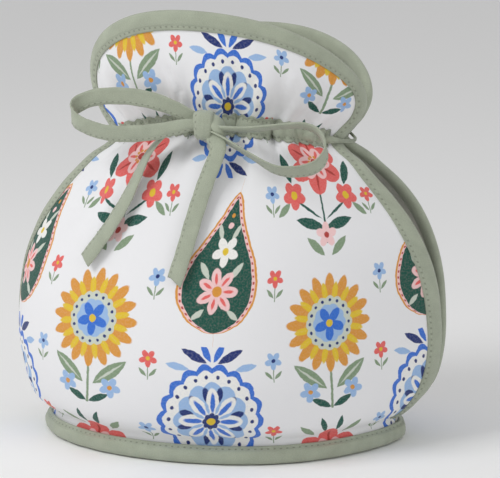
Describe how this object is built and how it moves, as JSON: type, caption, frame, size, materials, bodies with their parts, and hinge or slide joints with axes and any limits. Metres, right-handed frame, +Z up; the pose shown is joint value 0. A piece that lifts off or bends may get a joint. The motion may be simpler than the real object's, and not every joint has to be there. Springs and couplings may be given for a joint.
{
  "type": "tea cosy",
  "caption": "Padded cotton tea cosy with a bulging body, side openings for spout and handle, a drawn-in neck with a tape tied in a bow, and a flared top.",
  "frame": {"origin": "middle of the bounding box, on the plane the hem stands on", "axes": "+Z up, -Y the front with the bow, +X towards the handle opening"},
  "size_m": [0.2656, 0.188, 0.2646],
  "materials": {
    "print": "matte printed cotton, padded",
    "sage": "matte plain cotton"
  },
  "bodies": {
    "root": {"front_panel": "print", "back_panel": "print", "front_binding": "sage", "back_binding": "sage", "hem_band": "sage", "front_casing_left": "sage", "front_casing_right": "sage", "back_casing": "sage", "tie": "sage"}
  },
  "joints": []
}
